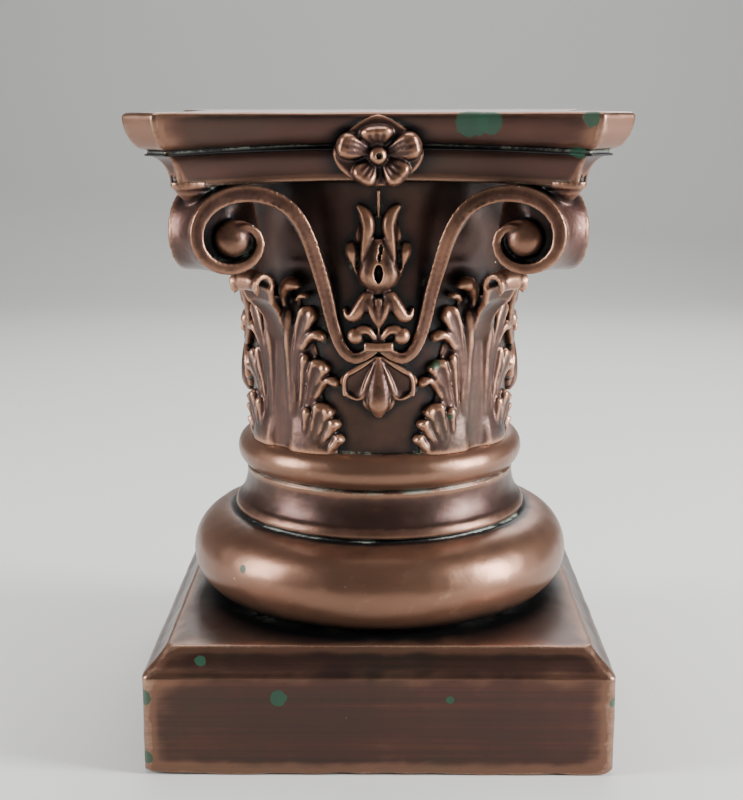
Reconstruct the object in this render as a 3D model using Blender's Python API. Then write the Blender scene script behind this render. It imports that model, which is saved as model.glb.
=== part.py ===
"""Short column used as a plant stand: square plinth, turned base, leafy capital with corner scrolls.

One hollow casting, drawn here as one solid. Metres, +Z up, the front faces -Y, and the
origin is the middle of the underside. All four faces of the capital are alike.
"""
import math

import bmesh
import bpy
from mathutils import Matrix, Vector

# Plinth, a square block with a sloped upper edge
PLINTH_WIDTH = 0.332
PLINTH_SIDE = 0.074
SLOPE_RISE = 0.017
SLOPE_RUN = 0.016
PLINTH_CORNER = 0.006

# Turned base: the big roll, the lip above it, the hollow neck and the collar roll
ROLL_RADIUS = 0.147
ROLL_HEIGHT = 0.064
LIP_RADIUS = 0.1135
LIP_HEIGHT = 0.0095
NECK_RADIUS = 0.1045
NECK_HEIGHT = 0.0252
COLLAR_RADIUS = 0.111
COLLAR_HEIGHT = 0.0277

# Bell, the plain drum that the carving stands on, flared under the abacus
BELL_RADIUS = 0.098
BELL_SWELL = 0.003
BELL_RIM = 0.104
BELL_HEIGHT = 0.1926
RELIEF = 0.0055

# Abacus, the square slab on top, with hollow sides, cut corners and a moulded edge
ABACUS_WIDTH = 0.338
ABACUS_CORNER = 0.034
ABACUS_HOLLOW = 0.034
ABACUS_BAND = 0.0175
ABACUS_GROOVE_DEPTH = 0.0142
ABACUS_GROOVE_DROP = 0.0085
ABACUS_FOOT_DEPTH = 0.029
ABACUS_HEIGHT = 0.050
ABACUS_BOW = 0.0035
ARRIS = 0.0022

# Corner scrolls and the stems that rise into them
SCROLL_RADIUS = 0.037
SCROLL_SETBACK = 0.032
SCROLL_ROOT = 0.0012
SCROLL_TIP_WIDTH = 0.0218
SCROLL_SPLAY = math.radians(25)
SCROLL_TIGHTNESS = 0.96
SCROLL_START = -0.13
SCROLL_TURNS = 1.27
RIM_SHARE = 0.31
FIELD_DEPTH = 0.0042
EYE_RADIUS = 0.0095
STEM_WIDTH = 0.0095
STEM_THICKNESS = 0.0062
NECK_PIECE_WIDTH = 0.017
NECK_PIECE_DROP = 0.011

# Corner leaves, and the flower in the middle of each side of the abacus
LEAF_TOP = 0.68
LEAF_FOOT_SPREAD = math.radians(29)
LEAF_TOP_SPREAD = math.radians(9)
LEAF_CURL = 0.019
LEAF_LOBES = 5
FLOWER_WIDTH = 0.054
FLOWER_HEIGHT = 0.040
FLOWER_DROP = 0.0285
FLOWER_BACKING_WIDTH = 0.061
PETAL_COUNT = 5
PETAL_RELIEF = 0.008
BUTTON_RADIUS = 0.0075

# How finely the round forms are cut into flat faces, and how far the carving is rooted in the bell
TURNED_SIDES = 32
ROLL_STEPS = 6
ROUND_SIDES = 6
SINK = 0.003

PLINTH_TOP = PLINTH_SIDE + SLOPE_RISE
LIP_FOOT = PLINTH_TOP + ROLL_HEIGHT
NECK_FOOT = LIP_FOOT + LIP_HEIGHT
COLLAR_FOOT = NECK_FOOT + NECK_HEIGHT
BELL_FOOT = COLLAR_FOOT + COLLAR_HEIGHT
ABACUS_FOOT = BELL_FOOT + BELL_HEIGHT
TOP = ABACUS_FOOT + ABACUS_HEIGHT


def smooth(t):
    """Eases from 0 to 1 as t runs from 0 to 1."""
    t = min(max(t, 0.0), 1.0)
    return t * t * (3 - 2 * t)


def loft(bm, rings):
    """Closed skin through rings of equally many points, flat at both ends."""
    loops = [[bm.verts.new(point) for point in ring] for ring in rings]
    for low, high in zip(loops, loops[1:]):
        for i in range(len(low)):
            j = (i + 1) % len(low)
            bm.faces.new((low[i], low[j], high[j], high[i]))
    bm.faces.new(loops[0][::-1])
    bm.faces.new(loops[-1])


def circle(radius, z, sides=TURNED_SIDES):
    """Level ring of points about the axis."""
    turns = [2 * math.pi * i / sides for i in range(sides)]
    return [Vector((radius * math.cos(t), radius * math.sin(t), z)) for t in turns]


def quarter_turn(turn):
    """Turns the front face to face number turn."""
    return Matrix.Rotation(math.pi / 2 * turn, 3, "Z")


# Plinth and turned base

def plinth_ring(half, z):
    """Square ring with small round corners."""
    centre = half - PLINTH_CORNER
    ring = []
    for corner in range(4):
        for step in range(4):
            turn = math.pi / 2 * (corner + step / 3)
            quadrant = math.pi / 2 * corner + math.pi / 4
            x = centre * math.copysign(1, math.cos(quadrant)) + PLINTH_CORNER * math.cos(turn)
            y = centre * math.copysign(1, math.sin(quadrant)) + PLINTH_CORNER * math.sin(turn)
            ring.append(Vector((x, y, z)))
    return ring


def add_plinth(bm):
    half = PLINTH_WIDTH / 2
    loft(bm, [plinth_ring(half, 0), plinth_ring(half, PLINTH_SIDE),
              plinth_ring(half - SLOPE_RUN, PLINTH_TOP)])


def roll_profile(radius, foot, height, steps=ROLL_STEPS):
    """Half-round moulding, as radius and height pairs from its foot up."""
    minor = height / 2
    for i in range(steps):
        turn = math.radians(-72 + 144 * i / (steps - 1))
        yield radius - minor + minor * math.cos(turn), foot + minor + minor * math.sin(turn)


def bell_radius(z):
    """The bell swells a little and then flares to its rim under the abacus."""
    rise = (z - BELL_FOOT) / BELL_HEIGHT
    flare = max(0.0, (rise - 0.7) / 0.3) ** 2
    body = BELL_RADIUS + BELL_SWELL * smooth(rise)
    return body + (BELL_RIM - BELL_RADIUS - BELL_SWELL) * min(flare, 1.0)


def turned_profile():
    """The column's outline from inside the plinth to inside the abacus."""
    yield ROLL_RADIUS - ROLL_HEIGHT / 2, PLINTH_TOP - SLOPE_RISE / 2
    yield from roll_profile(ROLL_RADIUS, PLINTH_TOP, ROLL_HEIGHT)
    yield LIP_RADIUS, LIP_FOOT + 0.2 * LIP_HEIGHT
    yield LIP_RADIUS - 0.1 * LIP_HEIGHT, NECK_FOOT
    yield NECK_RADIUS + 0.3 * (LIP_RADIUS - NECK_RADIUS), NECK_FOOT + 0.25 * NECK_HEIGHT
    yield NECK_RADIUS, NECK_FOOT + 0.7 * NECK_HEIGHT
    yield NECK_RADIUS, COLLAR_FOOT
    yield from roll_profile(COLLAR_RADIUS, COLLAR_FOOT, COLLAR_HEIGHT, steps=4)
    yield BELL_RADIUS, BELL_FOOT
    for rise in (0.7, 0.86, 1.0):
        z = BELL_FOOT + rise * BELL_HEIGHT
        yield bell_radius(z), z
    yield BELL_RIM, ABACUS_FOOT + ABACUS_BOW + SINK


# Abacus

def abacus_plan(inset, z, lift, steps=6):
    """Outline of the slab with its sides moved in by inset and bowed up by lift in their middles."""
    half = ABACUS_WIDTH / 2
    reach = math.sqrt(2) * half - ABACUS_CORNER / 2
    side = half - inset
    end = math.sqrt(2) * (reach - inset) - side
    ring = []
    for turn in range(4):
        for i in range(steps + 1):
            share = 2 * i / steps - 1
            middle = 1 - share * share
            point = Vector((end * share, -side + ABACUS_HOLLOW * middle, z + lift * middle))
            ring.append(quarter_turn(turn) @ point)
    return ring


def abacus_profile():
    """Inset and drop below the top face, down the moulded edge."""
    groove = ABACUS_BAND + ABACUS_GROOVE_DROP
    yield ARRIS, 0.0
    yield 0.0, 2 * ARRIS
    yield 0.15 * ABACUS_GROOVE_DEPTH, ABACUS_BAND
    yield ABACUS_GROOVE_DEPTH, groove
    cove_width = ABACUS_FOOT_DEPTH - ABACUS_GROOVE_DEPTH
    cove_height = ABACUS_HEIGHT - groove
    for share in (0.4, 0.75, 1.0):
        turn = share * math.pi / 2
        yield ABACUS_GROOVE_DEPTH + cove_width * math.sin(turn), groove + cove_height * share


def add_abacus(bm):
    rings = [abacus_plan(inset, TOP - drop, ABACUS_BOW * smooth(drop / ABACUS_BAND))
             for inset, drop in abacus_profile()]
    loft(bm, rings[::-1])


# Corner scrolls, worked out on the upright plane through each corner

def corner_reach():
    """Distance from the axis to the outer face of a scroll."""
    return math.sqrt(2) * ABACUS_WIDTH / 2 - ABACUS_CORNER / 2 - SCROLL_SETBACK


def scroll_radius(turns):
    """The scroll's outer edge winds in by the same share each turn, from its top."""
    return SCROLL_RADIUS * math.exp(-SCROLL_TIGHTNESS * turns)


def scroll_eye():
    """Reach and height of the scroll's centre."""
    return corner_reach() - scroll_radius(0.25), ABACUS_FOOT + SCROLL_ROOT - SCROLL_RADIUS


def half_width(reach):
    """Half the scroll's width, which grows from its outer face towards the bell."""
    return SCROLL_TIP_WIDTH / 2 + (corner_reach() - reach) * math.tan(SCROLL_SPLAY)


def corner_point(reach, aside, z):
    """Point of the front right corner, a distance aside from the diagonal towards the front."""
    along = Vector((1, -1, 0)) / math.sqrt(2)
    across = Vector((-1, -1, 0)) / math.sqrt(2)
    return along * reach + across * aside + Vector((0, 0, z))


def scroll_place(turns, radius):
    """Reach and height of a point of the spiral."""
    reach, z = scroll_eye()
    turn = 2 * math.pi * turns
    return reach + radius * math.sin(turn), z + radius * math.cos(turn)


def across_corner(place, trim=0.0):
    """The two points of a scroll's width at a place on the corner plane."""
    reach, z = place
    wide = half_width(reach) - trim
    return [corner_point(reach, -wide, z), corner_point(reach, wide, z)]


def add_scroll_field(bm, sides=12):
    """Sunk face between the scroll's turns, right through the scroll."""
    turns = [SCROLL_START + (i + 0.4) / sides for i in range(sides)]
    places = [scroll_place(turn, scroll_radius(turn) * (1 - RIM_SHARE / 2)) for turn in turns]
    field = [across_corner(place, FIELD_DEPTH) for place in places]
    loft(bm, [[pair[0] for pair in field], [pair[1] for pair in field]])


def add_scroll_ribbon(bm, steps=16):
    """Ribbon wound on edge, whose edge is the raised rim on both faces of the scroll."""
    rings = []
    for i in range(steps + 1):
        turns = SCROLL_START + (SCROLL_TURNS - SCROLL_START) * i / steps
        radius = scroll_radius(turns)
        outer = across_corner(scroll_place(turns, radius))
        inner = across_corner(scroll_place(turns, radius * (1 - RIM_SHARE)))
        rings.append(outer + inner[::-1])
    loft(bm, rings)


def add_neck_piece(bm):
    """Short block that ties the top of a scroll to the abacus above it."""
    wide = NECK_PIECE_WIDTH / 2
    inner = scroll_eye()[0] - NECK_PIECE_DROP
    rings = []
    for end, z in ((0.3 * NECK_PIECE_DROP, ABACUS_FOOT - NECK_PIECE_DROP), (0, ABACUS_FOOT + ABACUS_BOW + SINK)):
        outer = corner_reach() - SINK - end
        rings.append([corner_point(outer, -wide, z), corner_point(outer, wide, z),
                      corner_point(inner, wide, z), corner_point(inner, -wide, z)])
    loft(bm, rings)


def add_eyes(bm):
    """Ball in the middle of each face of a scroll."""
    reach, z = scroll_eye()
    for side in (-1, 1):
        rings = []
        for share, rise in ((1.0, -0.4), (0.65, 0.55)):
            ring = []
            for i in range(ROUND_SIDES):
                turn = 2 * math.pi * i / ROUND_SIDES
                place = reach + EYE_RADIUS * share * math.sin(turn)
                aside = half_width(place) - FIELD_DEPTH + EYE_RADIUS * rise
                ring.append(corner_point(place, side * aside, z + EYE_RADIUS * share * math.cos(turn)))
            rings.append(ring)
        loft(bm, rings)


# Carving laid round the bell, placed by angle from a face's middle and by share of the bell's height

def on_bell(angle, rise, out):
    """Point on the front face at an angle in degrees, standing out from the bell."""
    z = BELL_FOOT + rise * BELL_HEIGHT
    radius = bell_radius(z) + out
    turn = math.radians(angle)
    return Vector((radius * math.sin(turn), -radius * math.cos(turn), z))


def curve_through(points, steps):
    """Smooth path through a few hand-placed points, ending on the first and the last."""
    points = [Vector(point) for point in points]
    padded = [2 * points[0] - points[1]] + points + [2 * points[-1] - points[-2]]
    path = []
    for i in range(steps + 1):
        place = i / steps * (len(points) - 1)
        k = min(int(place), len(points) - 2)
        t = place - k
        a, b, c, d = padded[k:k + 4]
        path.append(0.5 * (2 * b + (c - a) * t + (2 * a - 5 * b + 4 * c - d) * t * t
                           + (3 * b - a - 3 * c + d) * t * t * t))
    return path


def add_stem(bm, steps=10):
    """Strap from the clasp, round the bell and up into the front edge of the right-hand scroll."""
    low = [on_bell(angle, rise, STEM_THICKNESS / 2 + lift) for angle, rise, lift in
           ((2, 0.405, 0.0), (7, 0.375, 0.0), (12, 0.372, 0.0), (16.5, 0.42, 0.0),
            (20, 0.51, 0.001), (22.5, 0.61, 0.004))]
    high = []
    for turns in (-0.3, -0.22, -0.14, -0.06):
        reach, z = scroll_place(turns, scroll_radius(turns) * (1 - RIM_SHARE / 2))
        high.append(corner_point(reach, half_width(reach) - STEM_THICKNESS / 2, z))
    path = curve_through(low + high, steps)
    rings = []
    for i, point in enumerate(path):
        along = (path[min(i + 1, steps)] - path[max(i - 1, 0)]).normalized()
        outward = Vector((point.x, point.y, 0)).normalized()
        aside = along.cross(outward).normalized()
        outward = aside.cross(along)
        wide = STEM_WIDTH / 2 * aside
        deep = (STEM_THICKNESS + SINK) / 2 * outward
        rings.append([point - wide - deep, point + wide - deep, point + wide + deep, point - wide + deep])
    loft(bm, rings)


def add_lobe(bm, start, bend, tip, width, height=RELIEF, steps=3, flat=0.0):
    """Petal on the bell, from start past bend to tip, each an angle and a rise, with a ridge or a flat top."""
    start, bend, tip = Vector(start), Vector(bend), Vector(tip)
    rings = []
    for i in range(steps + 1):
        t = i / steps
        place = (1 - t) ** 2 * start + 2 * t * (1 - t) * bend + t * t * tip
        ahead = (1 - t) * (bend - start) + t * (tip - bend)
        run = Vector((math.radians(ahead.x) * BELL_RADIUS, ahead.y * BELL_HEIGHT)).normalized()
        full = 0.25 + 0.75 * math.sin(math.pi * (0.12 + 0.76 * t)) ** 0.8
        ring = []
        crest = ((-flat, full * height), (flat, full * height)) if flat else ((0, full * height),)
        for aside, out in ((-1, -SINK), *crest, (1, -SINK)):
            offset = aside * full * width / 2
            ring.append(on_bell(place.x - math.degrees(run.y * offset / BELL_RADIUS),
                                place.y + run.x * offset / BELL_HEIGHT, out))
        rings.append(ring)
    loft(bm, rings)


def add_clasp(bm):
    """Plain band that holds the two stems together."""
    corners = ((-5.5, 0.388), (5.5, 0.388), (5.5, 0.432), (-5.5, 0.432))
    loft(bm, [[on_bell(angle, rise, out) for angle, rise in corners] for out in (-SINK, 1.4 * RELIEF)])


def spray_lobes():
    """The lobes in the middle of a face: bud, side buds, spread leaves, scrolled tips and palmette."""
    yield dict(start=(0, 0.61), bend=(0, 0.69), tip=(0, 0.82), width=0.028, height=1.5 * RELIEF, flat=0.45)
    yield dict(start=(0, 0.43), bend=(0, 0.52), tip=(0, 0.58), width=0.011)
    yield dict(start=(0, 0.30), bend=(0, 0.22), tip=(0, 0.14), width=0.013, height=1.3 * RELIEF, flat=0.45)
    for side in (-1, 1):
        yield dict(start=(side * 4.5, 0.76), bend=(side * 6.5, 0.84), tip=(side * 8.3, 0.925), width=0.0085)
        yield dict(start=(side * 2, 0.63), bend=(side * 11, 0.65), tip=(side * 11, 0.79), width=0.0085)
        yield dict(start=(side * 1, 0.49), bend=(side * 8, 0.60), tip=(side * 13.5, 0.53), width=0.0085)
        yield dict(start=(side * 1, 0.435), bend=(side * 6, 0.5), tip=(side * 10.5, 0.445), width=0.0075)
        yield dict(start=(side * 1, 0.33), bend=(side * 12, 0.33), tip=(side * 12.5, 0.205), width=0.015)


# Corner leaves

def leaf_half_angle(rise):
    """Half the leaf's spread, narrower towards its top and cut into lobes."""
    share = rise / LEAF_TOP
    spread = LEAF_TOP_SPREAD + (LEAF_FOOT_SPREAD - LEAF_TOP_SPREAD) * (1 - share ** 2.2)
    lobes = abs(math.sin(math.pi * LEAF_LOBES * share + 0.4))
    return spread * (0.8 + 0.2 * lobes ** 0.6)


def add_leaf(bm):
    """Tall leaf on the corner, with a broad middle rib, that curls out under the scroll."""
    section = ((-1, 0.7), (-0.8, 1.2), (-0.5, 0.2), (-0.24, 1.3), (0.24, 1.3), (0.5, 0.2), (0.8, 1.2), (1, 0.7))
    rows = 2 * LEAF_LOBES
    rings = []
    for i in range(rows + 1):
        rise = LEAF_TOP * i / rows
        curl = LEAF_CURL * smooth((i / rows - 0.72) / 0.28)
        spread = math.degrees(leaf_half_angle(rise))
        ring = [on_bell(45 + spread * share, rise, RELIEF * lift + curl * (1 - 0.5 * abs(share)))
                for share, lift in section]
        ring += [on_bell(45 + spread, rise, -SINK), on_bell(45 - spread, rise, -SINK)]
        rings.append(ring)
    loft(bm, rings)


# Flower on the middle of each side of the abacus

def on_abacus(across, up, out):
    """Point in front of the middle of the abacus's front side."""
    front = -ABACUS_WIDTH / 2 + ABACUS_HOLLOW
    return Vector((across, front - out, TOP - FLOWER_DROP + up))


def add_flower_backing(bm):
    """Gabled plate behind the petals."""
    wide = FLOWER_BACKING_WIDTH / 2
    low = FLOWER_HEIGHT / 2
    high = FLOWER_DROP - ARRIS
    outline = ((-wide, 0), (-0.4 * wide, -low), (0.4 * wide, -low), (wide, 0), (0, high))
    root = ABACUS_FOOT_DEPTH + 2 * SINK
    loft(bm, [[on_abacus(x, z, out) for x, z in outline] for out in (-root, -SINK / 6)])


def add_petal(bm, number):
    turn = math.pi / 2 + 2 * math.pi * number / PETAL_COUNT
    rings = []
    for share, full in ((0.33, 0.5), (0.72, 1.0), (1.0, 0.6)):
        ring = []
        for aside, out in ((-1, -0.4), (-0.6, 0.8), (0.6, 0.8), (1, -0.4)):
            spread = 0.5 * full * aside
            x = FLOWER_WIDTH / 2 * (share * math.cos(turn) - spread * math.sin(turn))
            z = FLOWER_HEIGHT / 2 * (share * math.sin(turn) + spread * math.cos(turn))
            ring.append(on_abacus(x, z, PETAL_RELIEF * out * math.sqrt(full)))
        rings.append(ring)
    loft(bm, rings)


def add_button(bm):
    """Round boss in the middle of the flower."""
    rings = []
    for share, out in ((1.0, -0.4), (0.65, 1.3)):
        ring = []
        for i in range(ROUND_SIDES):
            turn = 2 * math.pi * i / ROUND_SIDES
            ring.append(on_abacus(BUTTON_RADIUS * share * math.cos(turn), BUTTON_RADIUS * share * math.sin(turn),
                                  PETAL_RELIEF * out))
        rings.append(ring)
    loft(bm, rings)


# The whole casting, made by uniting the turned column with one set of carved parts after another

def four_sided(make, flip=1, **sizes):
    """What make adds for the front face, repeated on all four faces, or its mirror image."""
    pattern = bmesh.new()
    make(pattern, **sizes)
    whole = bmesh.new()
    for turn in range(4):
        places = {vert: whole.verts.new(quarter_turn(turn) @ Vector((flip * vert.co.x, vert.co.y, vert.co.z)))
                  for vert in pattern.verts}
        for face in pattern.faces:
            whole.faces.new([places[vert] for vert in face.verts])
    pattern.free()
    return whole


def carved_parts():
    """Each set of parts that don't touch one another, from the bell outwards."""
    slabs = bmesh.new()
    add_plinth(slabs)
    add_abacus(slabs)
    yield "plinth_and_abacus", slabs
    yield "leaves", four_sided(add_leaf)
    yield "scroll_fields", four_sided(add_scroll_field)
    yield "scroll_ribbons", four_sided(add_scroll_ribbon)
    yield "scroll_eyes", four_sided(add_eyes)
    yield "neck_pieces", four_sided(add_neck_piece)
    yield "stems_right", four_sided(add_stem)
    yield "stems_left", four_sided(add_stem, flip=-1)
    for number, lobe in enumerate(spray_lobes()):
        yield "spray_lobe_%d" % number, four_sided(add_lobe, **lobe)
    yield "clasps", four_sided(add_clasp)
    yield "flower_backings", four_sided(add_flower_backing)
    for number in range(PETAL_COUNT):
        yield "petals_%d" % number, four_sided(add_petal, number=number)
    yield "buttons", four_sided(add_button)


def closed_object(name, bm):
    """Object whose separate bodies all face outwards."""
    bmesh.ops.triangulate(bm, faces=bm.faces)
    bmesh.ops.recalc_face_normals(bm, faces=bm.faces)
    mesh = bpy.data.meshes.new(name)
    bm.to_mesh(mesh)
    bm.free()
    made = bpy.data.objects.new(name, mesh)
    bpy.context.scene.collection.objects.link(made)
    return made


def bronze_paint():
    material = bpy.data.materials.new("bronze_paint")
    material.use_nodes = True
    shader = material.node_tree.nodes["Principled BSDF"]
    shader.inputs["Base Color"].default_value = (0.115, 0.048, 0.026, 1)
    shader.inputs["Metallic"].default_value = 0.55
    shader.inputs["Roughness"].default_value = 0.36
    return material


def main():
    for old in list(bpy.data.objects):
        bpy.data.objects.remove(old, do_unlink=True)

    column = bmesh.new()
    loft(column, [circle(radius, z) for radius, z in turned_profile()])
    stand = closed_object("column_plant_stand", column)
    stand.data.materials.append(bronze_paint())
    for name, solid in carved_parts():
        piece = closed_object(name, solid)
        piece.hide_render = True
        piece.display_type = "WIRE"
        union = stand.modifiers.new(name, "BOOLEAN")
        union.operation = "UNION"
        union.solver = "MANIFOLD"
        union.object = piece


main()
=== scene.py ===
import math

import bmesh
import bpy
import numpy as np
from mathutils import Matrix, Vector, noise
from mathutils.bvhtree import BVHTree


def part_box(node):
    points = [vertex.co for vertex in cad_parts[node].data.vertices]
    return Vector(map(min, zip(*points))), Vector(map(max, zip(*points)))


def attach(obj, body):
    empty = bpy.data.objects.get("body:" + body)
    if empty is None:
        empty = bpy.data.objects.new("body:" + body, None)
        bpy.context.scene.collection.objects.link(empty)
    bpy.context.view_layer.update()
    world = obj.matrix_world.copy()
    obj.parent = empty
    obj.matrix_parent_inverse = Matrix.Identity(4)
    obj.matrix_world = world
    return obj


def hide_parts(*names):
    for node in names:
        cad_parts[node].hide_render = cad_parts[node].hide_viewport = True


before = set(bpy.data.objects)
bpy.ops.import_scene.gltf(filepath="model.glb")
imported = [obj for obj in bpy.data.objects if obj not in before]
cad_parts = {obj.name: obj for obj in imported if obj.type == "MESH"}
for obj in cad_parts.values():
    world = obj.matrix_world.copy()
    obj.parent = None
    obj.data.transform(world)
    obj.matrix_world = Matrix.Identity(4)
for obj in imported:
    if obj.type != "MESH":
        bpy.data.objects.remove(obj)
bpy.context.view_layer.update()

# Plinth
# A square block at the foot of the casting, with soft corners and a sloped upper edge.
# Its sides were brushed level with dark paint, and its lower edge is uneven and chipped.

CASTING = "column_plant_stand"
lowest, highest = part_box(CASTING)
TOP = highest.z
ABACUS_WIDTH = highest.x - lowest.x
PLINTH_WIDTH = 0.332
PLINTH_SIDE = 0.074
SLOPE_RISE = 0.017
SLOPE_RUN = 0.016
PLINTH_CORNER = 0.006
PLINTH_ARRIS = 0.0035
PLINTH_TOP = PLINTH_SIDE + SLOPE_RISE
FOOT_WEAR_HEIGHT = 0.014
FOOT_WEAR = 0.0022
CAST_WAVE = 0.00035
CAST_PITTING = 0.00009

# Near-black of sheltered hollows and undersides: painted shade, partly the darker paint left in hollows.
DARK_PAINT_AND_SHADE = (0.006, 0.0058, 0.0066)
# Darker brown ground of the bell: painted shade.
BELL_SHADE_BROWN = (0.018, 0.011, 0.0108)
BODY_BROWN = (0.056, 0.032, 0.0265)
RED_BROWN = (0.076, 0.028, 0.02)
OLIVE_BROWN = (0.04, 0.037, 0.026)
COPPER = (0.47, 0.235, 0.142)
# Pale copper of the edges: partly edge wear, partly a painted highlight.
PALE_WEAR_AND_HIGHLIGHT = (0.74, 0.48, 0.33)
RESIDUE = (0.26, 0.29, 0.23)
GREEN_PAINT = (0.003, 0.055, 0.026)
BARE_CAST = (0.62, 0.58, 0.52)

casting_pieces = []


def quarter(turn):
    """Quarter turns about the column's axis, which bring a side of the square to the next."""
    return Matrix.Rotation(math.pi / 2 * turn, 3, "Z")


def placed(name, data):
    """Object of the scene that shows a mesh, a lamp or a camera."""
    made = bpy.data.objects.new(name, data)
    bpy.context.scene.collection.objects.link(made)
    return made


def loft(bm, rings):
    """Closed skin through rings of equally many points, flat at both ends."""
    loops = [[bm.verts.new(point) for point in ring] for ring in rings]
    count = len(loops[0])
    for low, high in zip(loops, loops[1:]):
        for i in range(count):
            j = (i + 1) % count
            bm.faces.new((low[i], low[j], high[j], high[i]))
    bm.faces.new(loops[0][::-1])
    bm.faces.new(loops[-1])


def uneven(point):
    """How far the cast surface stands out or in at a point."""
    wave = noise.noise(point * 38) + 0.5 * noise.noise(point * 95)
    return CAST_WAVE * wave + CAST_PITTING * noise.noise(point * 420)


def roughen(mesh):
    """Moves every point along its normal by the unevenness of the casting."""
    normals = [vert.normal.copy() for vert in mesh.vertices]
    for vert, normal in zip(mesh.vertices, normals):
        vert.co += normal * uneven(vert.co)
    mesh.update()


def settle(name, mesh, paint):
    """Finished piece of the casting, painted, riding on the part and standing for its solid."""
    roughen(mesh)
    mesh.shade_smooth()
    mesh.materials.append(paint)
    piece = placed(name, mesh)
    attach(piece, "root")
    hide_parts(CASTING)
    casting_pieces.append(piece)


def mesh_from(name, bm):
    """Mesh whose separate bodies all face outwards."""
    bmesh.ops.recalc_face_normals(bm, faces=bm.faces)
    mesh = bpy.data.meshes.new(name)
    bm.to_mesh(mesh)
    bm.free()
    return mesh


def fused_mesh(name, bm, grain, smoothing=2):
    """Bodies melted into one skin, as the mould ran them together, with quads about a grain wide."""
    lump = placed(name + "_lump", mesh_from(name + "_lump", bm))
    remesh = lump.modifiers.new("melt", "REMESH")
    remesh.mode = "VOXEL"
    remesh.voxel_size = grain
    soften = lump.modifiers.new("soften", "SMOOTH")
    soften.factor = 0.5
    soften.iterations = smoothing
    depsgraph = bpy.context.evaluated_depsgraph_get()
    mesh = bpy.data.meshes.new_from_object(lump.evaluated_get(depsgraph))
    mesh.name = name
    solid = lump.data
    bpy.data.objects.remove(lump)
    bpy.data.meshes.remove(solid)
    return mesh


def fill(tree, sockets, values):
    """Values set on a node's sockets, and wires led to them."""
    for name, value in values.items():
        if isinstance(value, Wire):
            tree.links.new(value.socket, sockets[name])
        else:
            sockets[name].default_value = value


class Wire:
    """A socket of a material, so that shader maths reads as plain expressions."""

    def __init__(self, tree, socket):
        self.tree = tree
        self.socket = socket

    def joined(self, operation, *values):
        made = self.tree.nodes.new("ShaderNodeMath")
        made.operation = operation
        fill(self.tree, made.inputs, dict(enumerate(values)))
        return Wire(self.tree, made.outputs[0])

    def __add__(self, other):
        return self.joined("ADD", self, other)

    __radd__ = __add__

    def __sub__(self, other):
        return self.joined("SUBTRACT", self, other)

    def __rsub__(self, other):
        return self.joined("SUBTRACT", other, self)

    def __mul__(self, other):
        return self.joined("MULTIPLY", self, other)

    __rmul__ = __mul__

    def size(self):
        return self.joined("ABSOLUTE", self)

    def clipped(self):
        return self.joined("MINIMUM", self.joined("MAXIMUM", self, 0.0), 1.0)


class Finish:
    """A material under a name, with one method that makes any node in it."""

    def __init__(self, name):
        self.material = bpy.data.materials.new(name)
        self.material.use_nodes = True
        self.tree = self.material.node_tree
        self.shader = self.tree.nodes["Principled BSDF"]

    def node(self, kind, settings=None, inputs=None, output=0):
        made = self.tree.nodes.new(kind)
        for name, value in (settings or {}).items():
            setattr(made, name, value)
        fill(self.tree, made.inputs, inputs or {})
        return Wire(self.tree, made.outputs[output])

    def attribute(self, name):
        return self.node("ShaderNodeAttribute", {"attribute_name": name}, output="Fac")

    def place(self, stretch=(1, 1, 1), shift=(0, 0, 0)):
        where = self.node("ShaderNodeTexCoord", output="Object")
        return self.node("ShaderNodeMapping",
                         inputs={"Vector": where, "Scale": stretch, "Location": shift})

    def cloud(self, scale, detail=3.0, stretch=(1, 1, 1), shift=(0, 0, 0)):
        return self.node("ShaderNodeTexNoise", inputs={
            "Vector": self.place(stretch, shift), "Scale": scale, "Detail": detail, "Roughness": 0.55})

    def between(self, value, low, high):
        """0 below low, 1 above high."""
        return self.node("ShaderNodeMapRange", {"interpolation_type": "SMOOTHSTEP"}, inputs={
            "Value": value, "From Min": low, "From Max": high})

    def blend(self, share, below, above):
        """One colour over another."""
        colours = [c if isinstance(c, Wire) else (*c, 1) for c in (below, above)]
        return self.node("ShaderNodeMix", {"data_type": "RGBA"},
                         inputs={0: share, 6: colours[0], 7: colours[1]}, output=2)

    def spot(self, centre, radius, ragged=0.5):
        """Ragged patch round a point of the casting."""
        away = self.node("ShaderNodeVectorMath", {"operation": "DISTANCE"},
                         {0: self.place(), 1: centre}, "Value")
        edge = self.cloud(260, 2.0) * ragged + self.cloud(70, 2.0) * ragged
        return self.between(away * (1 / radius) + edge, 1.0 + ragged, 0.86 + ragged)

    def contact(self, radius, height, width=0.0022):
        """Line all round where two turned forms meet."""
        where = self.node("ShaderNodeTexCoord", output="Object")
        apart = self.node("ShaderNodeSeparateXYZ", inputs={0: where})
        level = Wire(self.tree, apart.socket.node.outputs[2])
        flat = self.node("ShaderNodeVectorMath", {"operation": "MULTIPLY"}, {0: where, 1: (1, 1, 0)})
        away = self.node("ShaderNodeVectorMath", {"operation": "LENGTH"}, {0: flat}, "Value")
        aside = (away - radius).size() + (level - height).size()
        return self.between(aside, width, width * 0.2)

    def set(self, **values):
        named = {name.replace("_", " "): value for name, value in values.items()}
        fill(self.tree, self.shader.inputs, named)


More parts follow.
